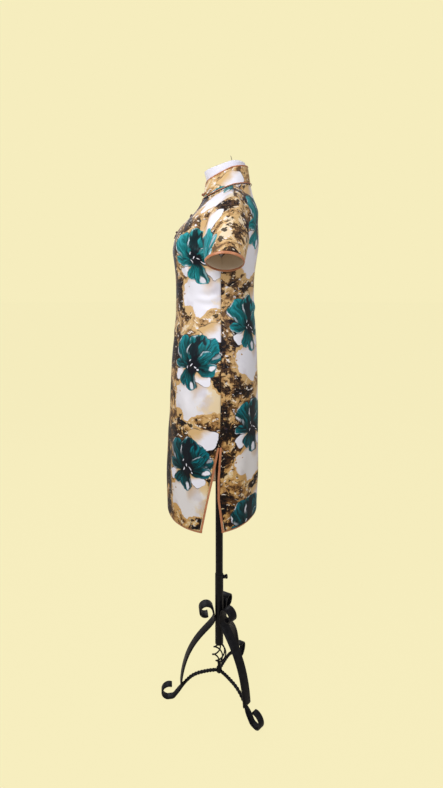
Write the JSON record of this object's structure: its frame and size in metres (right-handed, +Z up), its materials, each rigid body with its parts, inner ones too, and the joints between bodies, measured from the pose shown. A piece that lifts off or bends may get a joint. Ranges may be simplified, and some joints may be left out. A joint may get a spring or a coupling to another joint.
{
  "type": "cheongsam dress on dress form stand",
  "caption": "Knee-length short-sleeved cheongsam with a stand collar, side overlap and side slits, on a limbless dress form with an iron tripod stand of adjustable height.",
  "frame": {"origin": "centre of the whole object's box, on the plane that its feet stand on", "axes": "+Z up, -Y the way the dress faces, +X the wearer's left"},
  "size_m": [0.526, 0.3114, 1.7216],
  "materials": {
    "printed_satin": "smooth satin with a large lotus and cloud print on a mottled tan and dark brown ground, soft sheen",
    "copper_satin": "folded copper-brown satin bias binding and cord, soft sheen",
    "wine_cord": "dark wine-red satin cord, tightly rolled",
    "white_jersey": "white knitted cover stretched over the form, matt",
    "black_iron": "black satin lacquer over hammered wrought iron",
    "pin_steel": "thin dark wire end"
  },
  "bodies": {
    "base": {"cage_wire_1": "black_iron", "cage_wire_2": "black_iron", "cage_wire_3": "black_iron", "cage_wire_4": "black_iron", "clamp_boss": "black_iron", "hub": "black_iron", "leg_bar_a": "black_iron", "leg_bar_b": "black_iron", "leg_bar_c": "black_iron", "leg_strap_a": "black_iron", "leg_strap_b": "black_iron", "leg_strap_c": "black_iron", "outer_tube": "black_iron"},
    "mast": {"inner_pole": "black_iron"},
    "figure": {"back_hem_binding": "copper_satin", "back_panel": "printed_satin", "chest_fastening_1_knot": "wine_cord", "chest_fastening_1_loop": "wine_cord", "chest_fastening_1_tail": "wine_cord", "chest_fastening_2_knot": "wine_cord", "chest_fastening_2_loop": "wine_cord", "chest_fastening_2_tail": "wine_cord", "chest_fastening_3_knot": "wine_cord", "chest_fastening_3_loop": "wine_cord", "chest_fastening_3_tail": "wine_cord", "collar": "printed_satin", "collar_fastening_knot": "copper_satin", "collar_fastening_loop": "copper_satin", "collar_fastening_tail": "copper_satin", "collar_seam_piping": "copper_satin", "collar_top_binding": "copper_satin", "form_flange": "black_iron", "form_neck": "white_jersey", "form_torso": "white_jersey", "front_hem_binding": "copper_satin", "front_panel": "printed_satin", "left_sleeve": "printed_satin", "left_sleeve_binding": "copper_satin", "neck_pin": "pin_steel", "overlap_piping": "wine_cord", "right_sleeve": "printed_satin", "right_sleeve_binding": "copper_satin", "right_underlap": "printed_satin"},
    "knob": {"clamp_knob": "black_iron"}
  },
  "joints": [
    {"name": "height_slide", "type": "slide", "parent": "base", "child": "mast", "axis": [0, 0, 1], "range_m": [-0.12, 0.04]},
    {"name": "form_swivel", "type": "hinge", "parent": "mast", "child": "figure", "pos_m": [0, 0.037, 0.942], "axis": [0, 0, 1], "continuous": true},
    {"name": "clamp_knob_turn", "type": "hinge", "parent": "base", "child": "knob", "pos_m": [0, 0.037, 0.4155], "axis": [0, 1, 0], "range_deg": [0, 720]}
  ]
}
